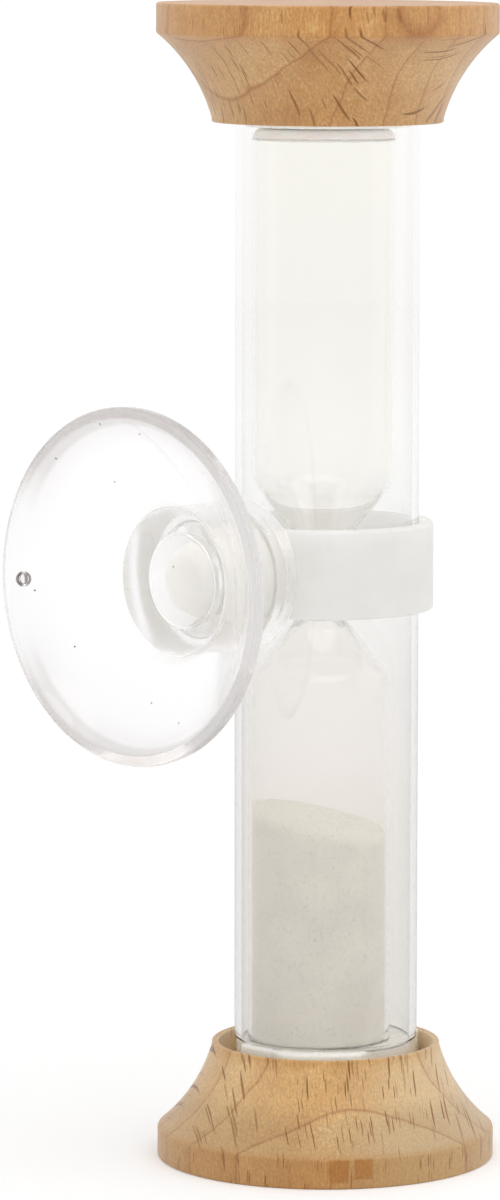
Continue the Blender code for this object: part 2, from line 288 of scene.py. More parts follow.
def supported(outline, closed):
    # Points close beside each bend keep the long walls' shading true, which glass needs; an arc needs none
    support = 0.06 * mm
    outline = [Vector(point) for point in outline]
    around = [outline[-1] if closed else outline[0]] + outline + (outline[:2] if closed else outline[-1:])
    points = []
    for index in range(1, len(outline) + (1 if closed else 0)):
        before, start, end, after = around[index - 1:index + 3]
        points.append(start)
        way = end - start
        if way.length > 5 * support:
            if not inArc(before, start, end):
                points.append(start + way.normalized() * support)
            if not inArc(start, end, after):
                points.append(end - way.normalized() * support)
    if not closed:
        points.append(outline[-1])
    return points


def ringOf(body, radius, segments, heightAt):
    # One ring of points about the axis, or one point on it
    if radius < 1e-9:
        return [body.verts.new((0.0, 0.0, heightAt(0.0)))]
    angles = [fullTurn * step / segments for step in range(segments)]
    return [body.verts.new((radius * math.cos(angle), radius * math.sin(angle), heightAt(angle)))
            for angle in angles]


def skinned(body, rings, segments, closed=False):
    for upper, lower in zip(rings, rings[1:] + (rings[:1] if closed else [])):
        for step in range(segments):
            after = (step + 1) % segments
            corners = [upper[step % len(upper)], upper[after % len(upper)], lower[after % len(lower)],
                    lower[step % len(lower)]]
            body.faces.new(list(dict.fromkeys(corners)))
    faceOut(body)


def faceOut(body):
    if body.calc_volume(signed=True) < 0:
        bmesh.ops.reverse_faces(body, faces=body.faces[:])


def eased(share):
    # From 0 to 1 with a soft start and a soft end
    share = min(max(share, 0.0), 1.0)
    return share * share * (3 - 2 * share)


def turned(name, outline, segments, closed=False, axis="Z"):
    # An open outline starts and ends on the axis, and a closed one makes a ring
    body = bmesh.new()
    points = supported(outline, closed)
    rings = [ringOf(body, radius, segments, lambda angle: height) for radius, height in points]
    skinned(body, rings, segments, closed)
    if axis == "Y":
        bmesh.ops.transform(body, matrix=Matrix.Rotation(-math.pi / 2, 4, "X"), verts=body.verts[:])
    return finished(name, body)


def finished(name, body, smoothAngle=40):
    mesh = bpy.data.meshes.new(name)
    body.to_mesh(mesh)
    body.free()
    mesh.shade_smooth()
    mesh.set_sharp_from_angle(angle=math.radians(smoothAngle))
    return placed(name, mesh)


def applyModifiers(piece):
    bpy.context.view_layer.update()
    evaluated = piece.evaluated_get(bpy.context.evaluated_depsgraph_get())
    mesh = bpy.data.meshes.new_from_object(evaluated)
    piece.modifiers.clear()
    piece.data = mesh


def inOrder(mesh):
    # A union lists its corners in a new order each time, so the mesh is built again in the order of place
    points = sorted((tuple(vertex.co), vertex.index) for vertex in mesh.vertices)
    ranks = {index: rank for rank, (point, index) in enumerate(points)}
    faces = [[ranks[index] for index in face.vertices] for face in mesh.polygons]
    ordered = bpy.data.meshes.new(mesh.name)
    ordered.from_pydata([point for point, index in points], [], sorted(faces, key=sorted))
    return ordered


def fused(piece, other):
    # Moulded in one; the mould's own edges stay sharp
    union = piece.modifiers.new(other.name, "BOOLEAN")
    union.operation = "UNION"
    union.solver = "EXACT"
    union.object = other
    applyModifiers(piece)
    bpy.data.objects.remove(other)
    piece.data = inOrder(piece.data)
    piece.data.shade_smooth()
    piece.data.set_sharp_from_angle(angle=math.radians(35))


def grown(piece, name, sizes, material, build):
    # A Geometry Nodes tree with the sizes as named inputs works on the piece and is baked into it
    tree = bpy.data.node_groups.new(name, "GeometryNodeTree")
    for way in ("OUTPUT", "INPUT"):
        tree.interface.new_socket(name="Geometry", in_out=way, socket_type="NodeSocketGeometry")
    given = {}
    for label, size in sizes.items():
        kind = "NodeSocketInt" if isinstance(size, int) else "NodeSocketFloat"
        socket = tree.interface.new_socket(name=label, in_out="INPUT", socket_type=kind)
        given[socket.identifier] = size
    add = partial(addNode, tree)
    real = add("GeometryNodeRealizeInstances", [build(add, add("NodeGroupInput").outputs)])
    add("NodeGroupOutput", [add("GeometryNodeSetMaterial", {"Geometry": real, "Material": material})])
    modifier = piece.modifiers.new(name, "NODES")
    modifier.node_group = tree
    for identifier, size in given.items():
        modifier[identifier] = size
    applyModifiers(piece)


def fromAxis(add, place):
    x, y, z = add("SeparateXYZ", [place]).outputs
    return add("VectorMath", [add("CombineXYZ", [x, y])], operation="LENGTH")


def mottled(add, place, scale, detail, strength, distance):
    # A fine unevenness of the surface, and the noise that it comes from
    grain = add("TexNoise", {"Vector": place, "Scale": scale, "Detail": detail})
    return grain, add("Bump", {"Height": grain, "Strength": strength, "Distance": distance})


def seat(piece, material, body, node):
    # The piece stands for its CAD node and moves with the node's body
    piece.data.materials.clear()
    piece.data.materials.append(material)
    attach(piece, body)
    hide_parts(node)


# Beech, turned on a lathe and lightly oiled: satin, with annual rings and dark lens-shaped rays.
# Its lengths are in millimetres and its turns in degrees
beechSettings = {
    "ringSpacing": 4.8,
    "ringsInside": 10,
    "latewood": [(0.0, "#a0a0a0"), (0.035, "#000000"), (0.5, "#202020"), (0.86, "#6a6a6a"),
                 (0.955, "#8a8a8a"), (0.975, "#e8e8e8"), (1.0, "#d8d8d8")],
    "latewoodShare": 0.62,
    "latewoodColour": "#be884e",
    "knotReach": 5.0,
    "knot": [(0.0, "#505050"), (0.2, "#202020"), (0.36, "#a0a0a0"), (0.52, "#ffffff"), (0.64, "#b0b0b0"),
             (0.88, "#000000")],
    "knotTone": 0.5,
    "wanderScale": 0.11,
    "cloudScale": 0.16,
    "cloudTone": 0.85,
    "yearTone": 0.16,
    "tones": (0.76, 1.26),
    "fibres": (3.4, 5.0, 0.7),
    "pores": (4.2, 5.2, 2.6),
    "poreShade": (0.3, 0.7, 0.87, 1.1),
    "relief": 0.12,
    # painted sheen: its colour, and where it starts and is full, in millimetres toward each side
    "paintedSheen": ("#dcbd90", 4.0, 14.0),
    "fleckColour": "#ecd5a8",
    # painted light inside the recess
    "fleckReach": 4.0,
    "fleckEdge": (1.08, 0.85),
    "recessLight": "#f3dcb4",
    "rayColour": "#834f0e",
    "rayEdge": (0.48, 0.3),
    "faintestRay": 0.4,
    "rayDepth": 0.5,
    "gloss": (0.44, 0.62),
    # Two sizes of ray, and the share of places left without one
    "rays": [
        {"thickness": 0.3, "height": 4.0, "reach": 14.0, "bare": 0.86},
        {"thickness": 0.19, "height": 2.2, "reach": 9.0, "bare": 0.87},
    ],
}
lowerBeech = {
    "name": "turnedBeechLower",
    "radialTurn": 145.0,
    "ringStart": 15.4,
    "ringBow": 70.0,
    "wander": 0.9,
    "knot": (15.0, -12.4, 3.4),
    "ground": [(0.0, "#c29256"), (0.4, "#d5a669"), (0.75, "#dfb477"), (1.0, "#eecb95")],
    # painted shade: darker toward the foot, which stands in the floor's shade, and warmer at the lip
    "shadeByHeight": [(0.0, "#e1d1b7"), (3.3, "#e1d1b7"), (4.0, "#e6e4e1"), (6.5, "#e9e8e6"), (9.0, "#ffffff"),
            (12.0, "#ffffff"), (14.0, "#f1e2c6")],
    # painted sheen: the turns toward which the beech is painted paler, and how much
    "sheenSides": [(207.0, 1.0), (57.0, 0.35)],
    "recess": (11.0, 20.0),
    "flecks": [(137.6, 2.1, 1.15, 1.35), (146.0, 2.3, 1.1, 1.2)],
    "seed": 3.0,
}
upperBeech = {
    "name": "turnedBeechUpper",
    "radialTurn": 84.5,
    "ringStart": 13.9,
    "ringBow": 90.0,
    "wander": 1.1,
    "knot": (-18.8, 5.0, 132.4),
    "ground": [(0.0, "#b17e47"), (0.4, "#c48f53"), (0.75, "#cd9c62"), (1.0, "#dcb37b")],
    # a slight warm tint by height, toward the cap's rim band at the top
    "shadeByHeight": [(118.0, "#ffffff"), (128.6, "#ffffff"), (129.6, "#fff3de"), (133.0, "#fff3de")],
    # painted sheen, a little toward both sides
    "sheenSides": [(207.0, 0.25), (57.0, 0.25)],
    "recess": (110.0, 122.0),
    "flecks": [],
    "seed": 11.0,
}


def ringCount(add, wood, grain):
    # Annual rings: far from the pith they are nearly flat sheets with a slight bow
    x, y, z = add("SeparateXYZ", [grain]).outputs
    bowSquare = add("Math", [y, y], operation="MULTIPLY")
    bowed = add("Math", [bowSquare, 1 / (2 * wood["ringBow"]), x], operation="MULTIPLY_ADD")
    spacing = beechSettings["ringSpacing"]
    first = beechSettings["ringsInside"] - wood["ringStart"] / spacing
    return add("Math", [bowed, 1 / spacing, first], operation="MULTIPLY_ADD")


def knotSwirl(add, wood, grain):
    # Round a pin knot the wood stands darker and redder, in a soft ring
    knot = Matrix.Rotation(math.radians(-wood["radialTurn"]), 4, "Z") @ Vector(wood["knot"])
    away = add("VectorMath", [grain, knot], operation="DISTANCE")
    share = add("Math", [away, beechSettings["knotReach"]], operation="DIVIDE")
    swirl = add("ValToRGB", [share], beechSettings["knot"])
    return add("Math", [swirl, beechSettings["knotTone"]], operation="MULTIPLY")


def rayMask(add, wood, grain, size):
    # Thin upright sheets that the surface cuts as dark lenses
    stretch = (1 / size["reach"], 1 / size["thickness"], 1 / size["height"])
    scaled = add("VectorMath", [grain, stretch], operation="MULTIPLY")
    shift = (wood["seed"], wood["seed"] * 7, size["height"])
    moved = add("VectorMath", [scaled, shift], operation="ADD")
    cells = add("TexVoronoi", {"Vector": moved, "Scale": 1.0, "Randomness": 0.8})
    red, green, blue = add("SeparateColor", [cells.outputs["Color"]]).outputs
    chosen = add("Math", [red, size["bare"]], operation="GREATER_THAN")
    lens = add("MapRange", [cells, *beechSettings["rayEdge"]], interpolation_type="SMOOTHSTEP")
    depth = add("MapRange", [green, 0.0, 1.0, beechSettings["faintestRay"]])
    shown = add("Math", [chosen, lens], operation="MULTIPLY")
    return add("Math", [shown, depth], operation="MULTIPLY")


def fleckMask(add, place, turn, height, halfWidth, halfHeight):
    # A broad ray that the rim's band cuts flat on, as a brown block
    turn = math.radians(turn)
    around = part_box("lower_cap")[1].x
    spot = Vector((around * math.cos(turn), around * math.sin(turn), height * mm))
    size = (beechSettings["fleckReach"] * mm, halfWidth * mm, halfHeight * mm)
    local = add("Mapping", [place, spot, (0.0, 0.0, turn), size], vector_type="TEXTURE")
    x, y, z = add("SeparateXYZ", [add("VectorMath", [local], operation="ABSOLUTE")]).outputs
    widest = add("Math", [y, z], operation="MAXIMUM")
    reach = add("Math", [widest, x], operation="MAXIMUM")
    return add("MapRange", [reach, *beechSettings["fleckEdge"]], interpolation_type="SMOOTHSTEP")


# Painted shade darkens the beech by height, most toward the lower cap's foot; painted sheen pales two sides
def paintedSheenAndShade(add, wood, place, bare):
    # Rims and lips drink more of the oil, and toward its sapwood side the beech is paler
    x, y, z = add("SeparateXYZ", [place]).outputs
    lowest, highest = wood["shadeByHeight"][0][0], wood["shadeByHeight"][-1][0]
    height = add("MapRange", [z, lowest * mm, highest * mm])
    stops = [((level - lowest) / (highest - lowest), colour) for level, colour in wood["shadeByHeight"]]
    shadeByHeight = add("ValToRGB", [height], stops)
    sheenColour, sheenStart, sheenEnd = beechSettings["paintedSheen"]
    for turn, share in wood["sheenSides"]:
        turn = math.radians(turn)
        toward = add("VectorMath", [place, (math.cos(turn), math.sin(turn), 0.0)], operation="DOT_PRODUCT")
        paintedSheen = add("MapRange", [toward, sheenStart * mm, sheenEnd * mm, 0.0, share],
                interpolation_type="SMOOTHSTEP")
        bare = add("Mix", {"Factor": paintedSheen, "A": bare, "B": sheenColour}, data_type="RGBA")
    return add("Mix", {"Factor": 1.0, "A": bare, "B": shadeByHeight}, data_type="RGBA", blend_type="MULTIPLY")


def recessMask(add, wood, place):
    # Painted light: inside the recess the wood is painted lighter, against the shade that falls there
    x, y, z = add("SeparateXYZ", [place]).outputs
    lip = capSettings["neckRadius"] - 0.85 * capSettings["lipWall"]
    inside = add("Math", [fromAxis(add, place), lip], operation="LESS_THAN")
    start, end = wood["recess"]
    middle = add("Math", [z, (start + end) / 2 * mm, (end - start) / 2 * mm], operation="COMPARE")
    return add("Math", [inside, middle], operation="MULTIPLY")


def makeBeech(wood):
    material, add, place = newMaterial(wood["name"])
    # X runs along the rays, Y across them and Z along the grain, all in millimetres
    beech = beechSettings
    radial = (0.0, 0.0, math.radians(wood["radialTurn"]))
    turnedWood = add("Mapping", {"Vector": place, "Rotation": radial, "Scale": (mm,) * 3},
            vector_type="TEXTURE")
    wander = add("TexNoise", {"Vector": turnedWood, "Scale": beech["wanderScale"], "Detail": 2.0,
            "W": wood["seed"]}, noise_dimensions="4D")
    centred = add("VectorMath", [wander.outputs["Color"], (0.5, 0.5, 0.5)], operation="SUBTRACT")
    pushed = add("VectorMath", [centred, (wood["wander"] * 2, wood["wander"] * 1.2, 0.0)],
            operation="MULTIPLY")
    grain = add("VectorMath", [turnedWood, pushed], operation="ADD")
    count = ringCount(add, wood, grain)
    ring = add("Math", [count], operation="FRACT")
    latewood = add("ValToRGB", [ring], beech["latewood"])

    # Each year's wood has its own tone; over it lie broad clouds and the fibres' fine mottle
    year = add("Math", [count], operation="FLOOR")
    tone = add("TexWhiteNoise", {"W": year}, noise_dimensions="1D")
    broad = add("TexNoise", {"Vector": grain, "Roughness": 0.6, "Scale": beech["cloudScale"], "Detail": 4.0,
            "W": wood["seed"] + 5}, noise_dimensions="4D")
    stretched = add("VectorMath", [grain, beech["fibres"]], operation="MULTIPLY")
    fibres = add("TexNoise", {"Vector": stretched, "Roughness": 0.7, "Scale": 1.0, "Detail": 4.0})
    toned = add("Math", [tone, beech["yearTone"], fibres], operation="MULTIPLY_ADD")
    mixed = add("Math", [broad, beech["cloudTone"], toned], operation="MULTIPLY_ADD")
    spread = add("MapRange", [mixed, *beech["tones"]])
    ground = add("ValToRGB", [spread], wood["ground"])
    # painted shade by height and painted sheen toward two sides
    sheenedAndShaded = paintedSheenAndShade(add, wood, place, ground)
    ringShare = add("Math", [latewood, beech["latewoodShare"]], operation="MULTIPLY")
    darker = add("Math", [ringShare, knotSwirl(add, wood, grain)], operation="MAXIMUM")
    ringed = add("Mix", {"Factor": darker, "A": sheenedAndShaded, "B": beech["latewoodColour"]}, data_type="RGBA",
            blend_type="MULTIPLY")

    # Pores and cut fibres: dark and light specks a fifth of a millimetre across
    pitted = add("VectorMath", [grain, beech["pores"]], operation="MULTIPLY")
    specks = add("TexNoise", {"Vector": pitted, "Scale": 1.0, "Detail": 1.0})
    shade = add("MapRange", [specks, *beech["poreShade"]])
    stained = add("Mix", {"Factor": 1.0, "A": ringed, "B": shade}, data_type="RGBA", blend_type="MULTIPLY")

    for fleck in wood["flecks"]:
        mask = fleckMask(add, place, *fleck)
        stained = add("Mix", {"Factor": mask, "A": stained, "B": beech["fleckColour"]}, data_type="RGBA",
                blend_type="MULTIPLY")
    masks = [rayMask(add, wood, grain, size) for size in beech["rays"]]
    rays = add("Math", [masks[0], masks[1]], operation="MAXIMUM")
    recess = recessMask(add, wood, place)
    # painted light inside the recess, against its shade
    recessLit = add("Mix", {"Factor": recess, "A": stained, "B": beech["recessLight"]}, data_type="RGBA")
    rayed = add("Mix", {"Factor": rays, "A": recessLit, "B": beech["rayColour"]}, data_type="RGBA")

    height = add("Math", [rays, -beech["rayDepth"], specks], operation="MULTIPLY_ADD")
    bump = add("Bump", {"Height": height, "Strength": 0.35, "Distance": beech["relief"] * mm})
    gloss = add("MapRange", [fibres, 0.0, 1.0, *beech["gloss"]])
    surface = add("BsdfPrincipled", {"Base Color": rayed, "Roughness": gloss, "Normal": bump, "IOR": 1.5,
            "Sheen Weight": 0.32, "Sheen Roughness": 0.45})
    add("OutputMaterial", [surface])
    return material


capSettings = {
    "segments": 192,
    "coveSteps": 28,
    "rimBand": 3.4 * mm,
    "shoulderRound": 0.8 * mm,
    "edgeRound": 0.3 * mm,
    "lipWall": 0.75 * mm,
    "lipRound": 0.25 * mm,
    "neckRadius": 13.2 * mm,
    "coveRadius": 19.0 * mm,
    "recessDepth": 2.6 * mm,
    "toolMark": 0.012 * mm,
    "toolMarkScale": 260,
}


def arcCentre(start, end, radius):
    # Centre of the arc through both points that bulges to the right on the way
    chord = end - start
    left = Vector((-chord.y, chord.x)).normalized()
    return (start + end) / 2 + left * math.sqrt(radius ** 2 - chord.length_squared / 4)


def capOutline(settings, rimRadius, height):
    coveTop = Vector((settings["neckRadius"], height - 2 * settings["lipRound"]))
    coveBottom = Vector((rimRadius, settings["rimBand"]))
    centre = arcCentre(coveTop, coveBottom, settings["coveRadius"])
    cove = arc(centre, coveTop, coveBottom, settings["coveSteps"])
    recess = settings["neckRadius"] - settings["lipWall"]
    floor = height - settings["recessDepth"]
    lip = rounded([(0.0, floor, 0), (recess, floor, 0.1 * mm), (recess, height, settings["lipRound"]),
            (settings["neckRadius"], height, settings["lipRound"]), (*coveTop, 0)])
    foot = rounded([(*cove[-2], 0), (*coveBottom, settings["shoulderRound"]),
            (rimRadius, 0.0, settings["edgeRound"]), (0.0, 0.0, 0)])
    return lip + cove[1:-2] + foot


def makeCaps(settings):
    for node, wood, upsideDown in (("lower_cap", lowerBeech, False), ("upper_cap", upperBeech, True)):
        low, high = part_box(node)
        outline = capOutline(settings, high.x, high.z - low.z)
        cap = turned(node + "_turned", outline, settings["segments"])
        for vertex in cap.data.vertices:
            # The lathe tool leaves the surface a hair uneven
            spot = Vector((vertex.co.x, vertex.co.y, vertex.co.z * 3)) * settings["toolMarkScale"]
            outward = Vector((vertex.co.x, vertex.co.y, 0.0))
            if outward.length > settings["neckRadius"] - settings["lipWall"] / 2:
                vertex.co -= outward.normalized() * settings["toolMark"] * (1 + noise.noise(spot))
        if upsideDown:
            cap.data.transform(Matrix.Translation((0, 0, high.z)) @ Matrix.Rotation(math.pi, 4, "X"))
        seat(cap, makeBeech(wood), "timer", node)
    print("caps: turned and grained")


# Drawn glass tube and lamp-worked sandglass: colourless, with a faint tint that darkens downwards
glassSettings = {
    "ior": 1.47,
    "foot": 14 * mm,
    "head": 115 * mm,
    "streaks": (420.0, 420.0, 18.0),
    "streakGloss": (0.45, 0.75, 0.0, 0.03),
    "tube": {
        "name": "drawnTubeGlass",
        "tintByHeight": [(0.0, "#f7f5f2"), (0.25, "#fbf9f6"), (0.32, "#fdfbf9"), (0.55, "#fdfdfc"),
                 (1.0, "#fdfcfb")],
        "glancing": [(0.0, "#fcfcfc"), (0.4, "#fcfcfc"), (0.7, "#fefefe"), (1.0, "#ffffff")],
        "grey": 14.0,
    },
    "bulbs": {
        "name": "lampWorkedGlass",
        "tintByHeight": [(0.0, "#fdfcfb"), (0.5, "#fdfcfb"), (1.0, "#fdfdfa")],
        "glancing": [(0.0, "#ffffff"), (1.0, "#ffffff")],
        "grey": 2.0,
    },
}


def makeGlass(settings, kind):
    glass = settings[kind]
    material, add, place = newMaterial(glass["name"])
    x, y, z = add("SeparateXYZ", [place]).outputs
    height = add("MapRange", [z, settings["foot"], settings["head"]])
    tintByHeight = add("ValToRGB", [height], glass["tintByHeight"])
    # A coat tint darkens the glass where it is seen at a glancing angle, so the tube's sides stand out a
    # little
    glancing = add("ValToRGB", [height], glass["glancing"])
    # Drawing leaves long faint streaks along the tube, seen only as a change of gloss
    drawn = add("Mapping", {"Vector": place, "Scale": settings["streaks"]})
    streaks = add("TexNoise", {"Vector": drawn, "Scale": 1.0, "Detail": 2.0})
    gloss = add("MapRange", [streaks, *settings["streakGloss"]])
    clear = add("BsdfPrincipled", {"Base Color": tintByHeight, "Roughness": gloss, "Coat Tint": glancing,
            "IOR": settings["ior"], "Transmission Weight": 1.0, "Coat Weight": 1.0, "Coat IOR": 1.0,
            "Coat Roughness": 0.0})
    # Seen along the wall the glass is a little grey
    absorbed = add("VolumeAbsorption", {"Color": "#000000", "Density": glass["grey"]})
    add("OutputMaterial", [clear, absorbed])
    return material


tubeSettings = {"wall": 0.8 * mm, "endRound": 0.35 * mm, "segments": 192}


def makeTube(settings):
    low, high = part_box("outer_tube")
    bore = high.x - settings["wall"]
    corners = [(high.x, low.z), (bore, low.z), (bore, high.z), (high.x, high.z)]
    corners = [(*corner, settings["endRound"]) for corner in corners]
    outline = rounded([corners[-1]] + corners + [corners[0]])[1:-1]
    tube = turned("outer_tube_clear", outline, settings["segments"], closed=True)
    seat(tube, makeGlass(glassSettings, "tube"), "timer", "outer_tube")
    print("tube: drawn")


bulbSettings = {
    "segments": 160,
    "wall": 0.42 * mm,
    "footWall": 0.25 * mm,
    "footRound": 0.6 * mm,
    "footSag": 0.35 * mm,
    "endWall": 1.15 * mm,
    "endRound": 1.4 * mm,
    "floorRound": 0.3 * mm,
    "lean": (0.43 * mm, 0.82 * mm),
    "leanTurn": math.radians(42.5),
    "leanSpan": 24.0 * mm,
    "orifice": 0.6 * mm,
    "neckWall": 1.4 * mm,
    "neckHalf": 2.5 * mm,
    "neckRound": 3.0 * mm,
    "thickUpTo": 2.9 * mm,
    "shoulderRound": 5.0 * mm,
    "funnel": math.radians(39),
    "throatHeight": 67.3 * mm,
    "coneSteps": 6,
    "fillingHole": 1.8 * mm,
    "wettedFrom": 0.1 * mm,
    "wettedSlope": 0.25,
    "wetted": [(0.35, "#f6f4f1"), (0.65, "#ffffff")],
}


def waist(outerRadius, settings, steps=16):
    # (outer, inner) points as radius and distance from the throat, from the neck out to the straight wall
    funnel = settings["funnel"]
    neck = settings["orifice"] + settings["neckWall"]
    neckRound = settings["neckRound"]
    shoulderRound = settings["shoulderRound"]
    outer = []
    for step in range(steps + 1):
        turn = funnel * step / steps
        outer.append((neck + neckRound * (1 - math.cos(turn)),
                      settings["neckHalf"] + neckRound * math.sin(turn), turn))
    start = outerRadius - shoulderRound * (1 - math.cos(funnel))
    coneEnd = outer[-1][1] + (start - outer[-1][0]) / math.tan(funnel)
    for step in range(1, settings["coneSteps"]):
        share = step / settings["coneSteps"]
        outer.append((outer[steps][0] + (start - outer[steps][0]) * share,
                      outer[steps][1] + (coneEnd - outer[steps][1]) * share, funnel))
    for step in range(steps + 1):
        turn = funnel * (1 - step / steps)
        outer.append((outerRadius - shoulderRound * (1 - math.cos(turn)),
                      coneEnd + shoulderRound * (math.sin(funnel) - math.sin(turn)), turn))
    inner = []
    for radius, away, turn in outer:
        # Blown thin, the wall thickens only where the glass was necked down
        share = eased((settings["thickUpTo"] - radius) / (settings["thickUpTo"] - neck))
        wall = settings["wall"] + (settings["neckWall"] - settings["wall"]) * share
        inner.append((radius - wall * math.cos(turn), away + wall * math.sin(turn)))
    return [point[:2] for point in outer], inner


def leanOver(piece, settings):
    # The glass was set by hand: both bulbs stand a little to one side in the tube, the lower one more
    side = Vector((math.cos(settings["leanTurn"]), math.sin(settings["leanTurn"]), 0.0))
    span = settings["leanSpan"]
    high, low = settings["lean"]
    for vertex in piece.data.vertices:
        share = eased((settings["throatHeight"] + span / 2 - vertex.co.z) / span)
        vertex.co += side * (high + (low - high) * share)


def makeWettedGlass(settings):
    material, add, place = newMaterial("glueWettedGlass")
    cloud = add("TexNoise", {"Vector": place, "Scale": 300.0, "Detail": 3.0})
    milk = add("ValToRGB", [cloud], settings["wetted"])
    surface = add("BsdfPrincipled", {"Base Color": milk, "Roughness": 0.25, "Subsurface Weight": 0.4,
            "Subsurface Scale": 0.001})
    add("OutputMaterial", [surface])
    return material


def makeSandglass(settings):
    low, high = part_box("sandglass")
    outerRadius = high.x
    bore = outerRadius - settings["wall"]
    throat = settings["throatHeight"]
    outer, inner = waist(outerRadius, settings)
    innerLow = [Vector((radius, throat - away)) for radius, away in reversed(inner)]
    innerHigh = [Vector((radius, throat + away)) for radius, away in inner]
    outerHigh = [Vector((radius, throat + away)) for radius, away in reversed(outer)]
    outerLow = [Vector((radius, throat - away)) for radius, away in outer]
    hole = settings["fillingHole"]
    chamberTop = high.z - settings["endWall"]
    footUnder = low.z - settings["footSag"]
    chamberFloor = footUnder + settings["footWall"]
    floor = rounded([(0.0, chamberFloor, 0), (bore, chamberFloor, settings["floorRound"]),
            (*innerLow[0], 0)])
    crown = rounded([(*innerHigh[-1], 0), (bore, chamberTop, settings["floorRound"]), (hole, chamberTop, 0),
            (hole, high.z, 0), (outerRadius, high.z, settings["endRound"]), (*outerHigh[0], 0)])
    foot = rounded([(*outerLow[-1], 0), (outerRadius, footUnder, settings["footRound"]),
            (0.0, footUnder, 0)])
    outline = floor[:-1] + innerLow + innerHigh + crown[1:-1] + outerHigh + outerLow + foot[1:]
    glass = turned("sandglass_clear", outline, settings["segments"])
    leanOver(glass, settings)
    seat(glass, makeGlass(glassSettings, "bulbs"), "timer", "sandglass")
    glass.data.materials.append(makeWettedGlass(settings))
    slope = settings["wettedSlope"]
    for face in glass.data.polygons:
        # The glue wets both ends of the glass
        crown = face.center.z > chamberTop + settings["wettedFrom"] and face.normal.z > slope
        if crown or (face.center.z < chamberFloor and face.normal.z < -slope):
            face.material_index = 1
    print("sandglass: blown")


# Fine washed sand, near white, with a few grey grains
sandSettings = {
    "radius": 7.73 * mm,
    "floorGap": 0.03 * mm,
    "floorRound": 0.28 * mm,
    "slope": math.radians(11.5),
    "dish": 0.25 * mm,
    "highSide": math.radians(42.5),
    "level": 39.6 * mm,
    "rings": 44,
    "wallSteps": 40,
    "segments": 144,
    "roughness": 0.09 * mm,
    "roughScales": (900, 300),
    "broadShare": 1.4,
    "grainScale": 6500.0,
    "grainRadius": 0.06 * mm,
    "grainSizes": (0.6, 1.25),
    "grainsPerArea": 30.0,  # to a square millimetre
    "darkGrain": "#b4afa7",
    "darkShare": (0.9, 1.0, 0.0, 0.55),
    "ground": [(0.3, "#e1e0db"), (0.7, "#e9e8e3")],
    # painted light on the sand's top
    "topLight": "#f2f1eb",
    "topLightFrom": 2.0 * mm,
    "topLightTo": 0.3 * mm,
    "seed": 4,
}


def makeSandMaterial(settings):
    material, add, place = newMaterial("washedSand")
    grains = add("TexVoronoi", {"Vector": place, "Scale": settings["grainScale"]})
    red, green, blue = add("SeparateColor", [grains.outputs["Color"]]).outputs
    dark = add("MapRange", [red, *settings["darkShare"]])
    cloud = add("TexNoise", {"Vector": place, "Scale": 260.0, "Detail": 3.0})
    ground = add("ValToRGB", [cloud], settings["ground"])
    # Painted light: towards its sloping top, which faces up to the light, the sand is painted lighter
    slope, side = settings["slope"], settings["highSide"]
    up = Vector((-math.sin(slope) * math.cos(side), -math.sin(slope) * math.sin(side), math.cos(slope)))
    above = add("VectorMath", [place, up], operation="DOT_PRODUCT")
    top = settings["level"] * up.z
    topLightShare = add("MapRange", [above, top - settings["topLightFrom"], top - settings["topLightTo"]],
            interpolation_type="SMOOTHSTEP")
    topLit = add("Mix", {"Factor": topLightShare, "A": ground, "B": settings["topLight"]}, data_type="RGBA")
    colour = add("Mix", {"Factor": dark, "A": topLit, "B": settings["darkGrain"]}, data_type="RGBA")
    bump = add("Bump", {"Height": grains, "Strength": 0.25, "Distance": 0.00006}, invert=True)
    surface = add("BsdfPrincipled", {"Base Color": colour, "Roughness": 0.95, "Normal": bump,
            "Specular IOR Level": 0.3})
    add("OutputMaterial", [surface])
    return material


def sandSurface(radius, angle, settings):
    # The heap leans to one side, is a little dished and is rough with grains
    across = radius * math.cos(angle - settings["highSide"])
    height = settings["level"] + across * math.tan(settings["slope"])
    share = radius / settings["radius"]
    height += settings["dish"] * (share ** 2 - 0.5)
    spot = Vector((radius * math.cos(angle), radius * math.sin(angle), 0.0))
    fine, broad = [noise.noise(spot * scale) for scale in settings["roughScales"]]
    return height + settings["roughness"] * (fine + settings["broadShare"] * broad)


def strewn(add, given):
    seed = sandSettings["seed"]
    smallest, largest = sandSettings["grainSizes"]
    spots = add("GeometryNodeDistributePointsOnFaces", {"Mesh": given["Geometry"],
            "Density": given["Grains per Area"], "Seed": seed}, distribute_method="RANDOM")
    grain = add("GeometryNodeMeshIcoSphere", {"Radius": given["Grain Radius"], "Subdivisions": 1})
    size = add("FunctionNodeRandomValue", {"Min": smallest, "Max": largest, "Seed": seed + 1},
            data_type="FLOAT")
    tumble = add("FunctionNodeRandomValue", {"Max": (fullTurn,) * 3, "Seed": seed + 2},
            data_type="FLOAT_VECTOR")
    return add("GeometryNodeInstanceOnPoints", {"Points": spots, "Instance": grain, "Rotation": tumble,
            "Scale": size})


def strewGrains(heap, settings, material):
    # Only the heap's open top carries loose grains
    body = bmesh.new()
    body.from_mesh(heap.data)
    body.normal_update()
    inside = settings["radius"] - 2 * settings["grainRadius"]
    middle = sum((vertex.co for vertex in body.verts), Vector()) / len(body.verts)
    buried = [face for face in body.faces if face.normal.z < 0.3
              or (face.calc_center_median() - middle).to_2d().length > inside]
    bmesh.ops.delete(body, geom=buried, context="FACES")
    grains = finished("sand_loose_grains", body)
    sizes = {"Grain Radius": settings["grainRadius"], "Grains per Area": settings["grainsPerArea"] / mm ** 2}
    grown(grains, "looseGrains", sizes, material, strewn)
    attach(grains, "timer")
    print("sand:", len(grains.data.polygons) // 20, "loose grains")


